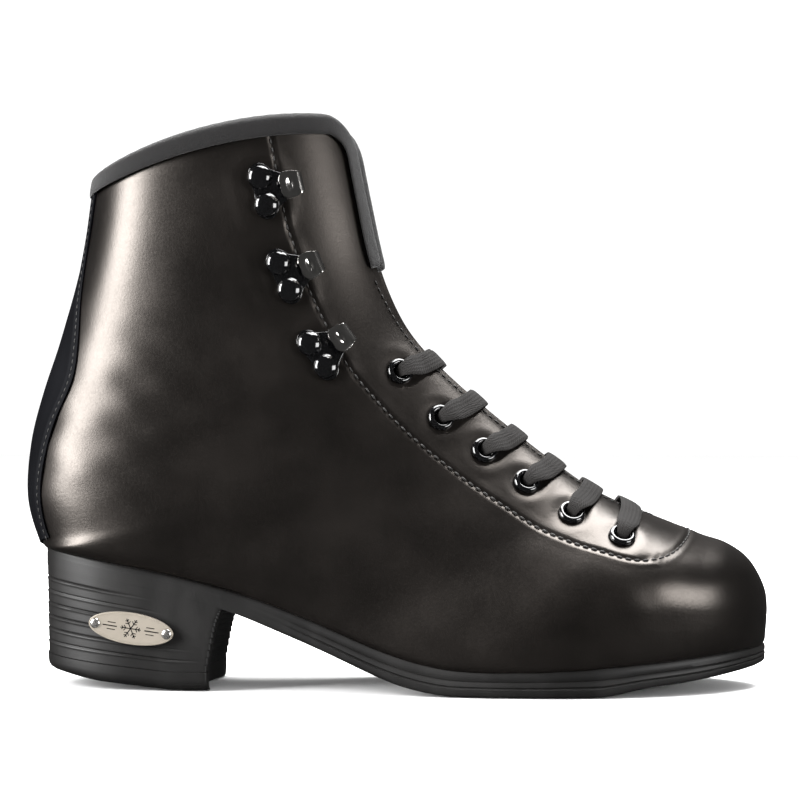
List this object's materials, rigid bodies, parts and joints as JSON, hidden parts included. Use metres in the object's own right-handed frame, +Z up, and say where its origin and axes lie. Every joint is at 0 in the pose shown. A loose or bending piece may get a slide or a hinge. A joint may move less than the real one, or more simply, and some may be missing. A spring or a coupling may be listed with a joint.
{
  "type": "figure skating boot",
  "caption": "Black lace-up figure skating boot, right foot, shown without its blade: leather upper, laced throat, hooks at the ankle, padded collar, moulded sole and raised heel.",
  "frame": {"origin": "on the floor, under the middle of the boot's bounding box", "axes": "+X to the toe, +Y to the inner (medial) side, +Z up"},
  "size_m": [0.2886, 0.095, 0.2191],
  "materials": {
    "upper_leather": "smooth black leather with a fine grain and a satin shine",
    "backstay_leather": "black leather strip with a slight blue cast and a stitched edge",
    "strip_leather": "unpolished black reinforcing leather",
    "tongue_leather": "soft padded black leather",
    "binding_velour": "matte black velour roll with a short fuzzy pile",
    "lining_cloth": "dark brushed knit lining",
    "fibreboard": "brown leather fibreboard",
    "cork": "pressed granulated cork",
    "lace_braid": "flat black braid",
    "sole_rubber": "dark grey-black matte moulded sole",
    "black_enamel": "glossy black enamelled brass",
    "hook_metal": "dark nickel plate, bright on its edges",
    "steel": "bright polished steel"
  },
  "bodies": {
    "boot": {"upper_leather": "upper_leather", "quarter_lining": "lining_cloth", "vamp_lining": "lining_cloth", "toe_puff": "fibreboard", "heel_counter": "fibreboard", "backstay": "backstay_leather", "eyelet_strip_lateral": "strip_leather", "eyelet_strip_medial": "strip_leather", "ankle_pad_lateral": "lining_cloth", "ankle_pad_medial": "lining_cloth", "collar_binding": "binding_velour", "tongue_lower": "tongue_leather", "outsole": "sole_rubber", "insole_board": "fibreboard", "footbed": "lining_cloth", "shank": "steel", "cork_filler": "cork", "heel_block": "sole_rubber", "heel_lift": "sole_rubber", "heel_screw": "steel", "heel_badge": "steel", "badge_pin_1": "steel", "badge_pin_2": "steel", "lace": "lace_braid", "aglet_1": "black_enamel", "aglet_2": "black_enamel", "eyelet_lateral_1": "black_enamel", "eyelet_lateral_2": "black_enamel", "eyelet_lateral_3": "black_enamel", "eyelet_lateral_4": "black_enamel", "eyelet_lateral_5": "black_enamel", "eyelet_lateral_6": "black_enamel", "hook_lateral_1": "hook_metal", "hook_lateral_1_rivet_1": "black_enamel", "hook_lateral_1_rivet_2": "black_enamel", "hook_lateral_2": "hook_metal", "hook_lateral_2_rivet_1": "black_enamel", "hook_lateral_2_rivet_2": "black_enamel", "hook_lateral_3": "hook_metal", "hook_lateral_3_rivet_1": "black_enamel", "hook_lateral_3_rivet_2": "black_enamel", "eyelet_medial_1": "black_enamel", "eyelet_medial_2": "black_enamel", "eyelet_medial_3": "black_enamel", "eyelet_medial_4": "black_enamel", "eyelet_medial_5": "black_enamel", "eyelet_medial_6": "black_enamel", "hook_medial_1": "hook_metal", "hook_medial_1_rivet_1": "black_enamel", "hook_medial_1_rivet_2": "black_enamel", "hook_medial_2": "hook_metal", "hook_medial_2_rivet_1": "black_enamel", "hook_medial_2_rivet_2": "black_enamel", "hook_medial_3": "hook_metal", "hook_medial_3_rivet_1": "black_enamel", "hook_medial_3_rivet_2": "black_enamel"},
    "tongue": {"tongue_upper": "tongue_leather"}
  },
  "joints": [
    {"name": "tongue_tilt", "type": "hinge", "parent": "boot", "child": "tongue", "pos_m": [-0.0075, 0, 0.1059], "axis": [0, -1, 0], "range_deg": [0, 12], "stiffness_Nm_per_rad": 0.3}
  ]
}
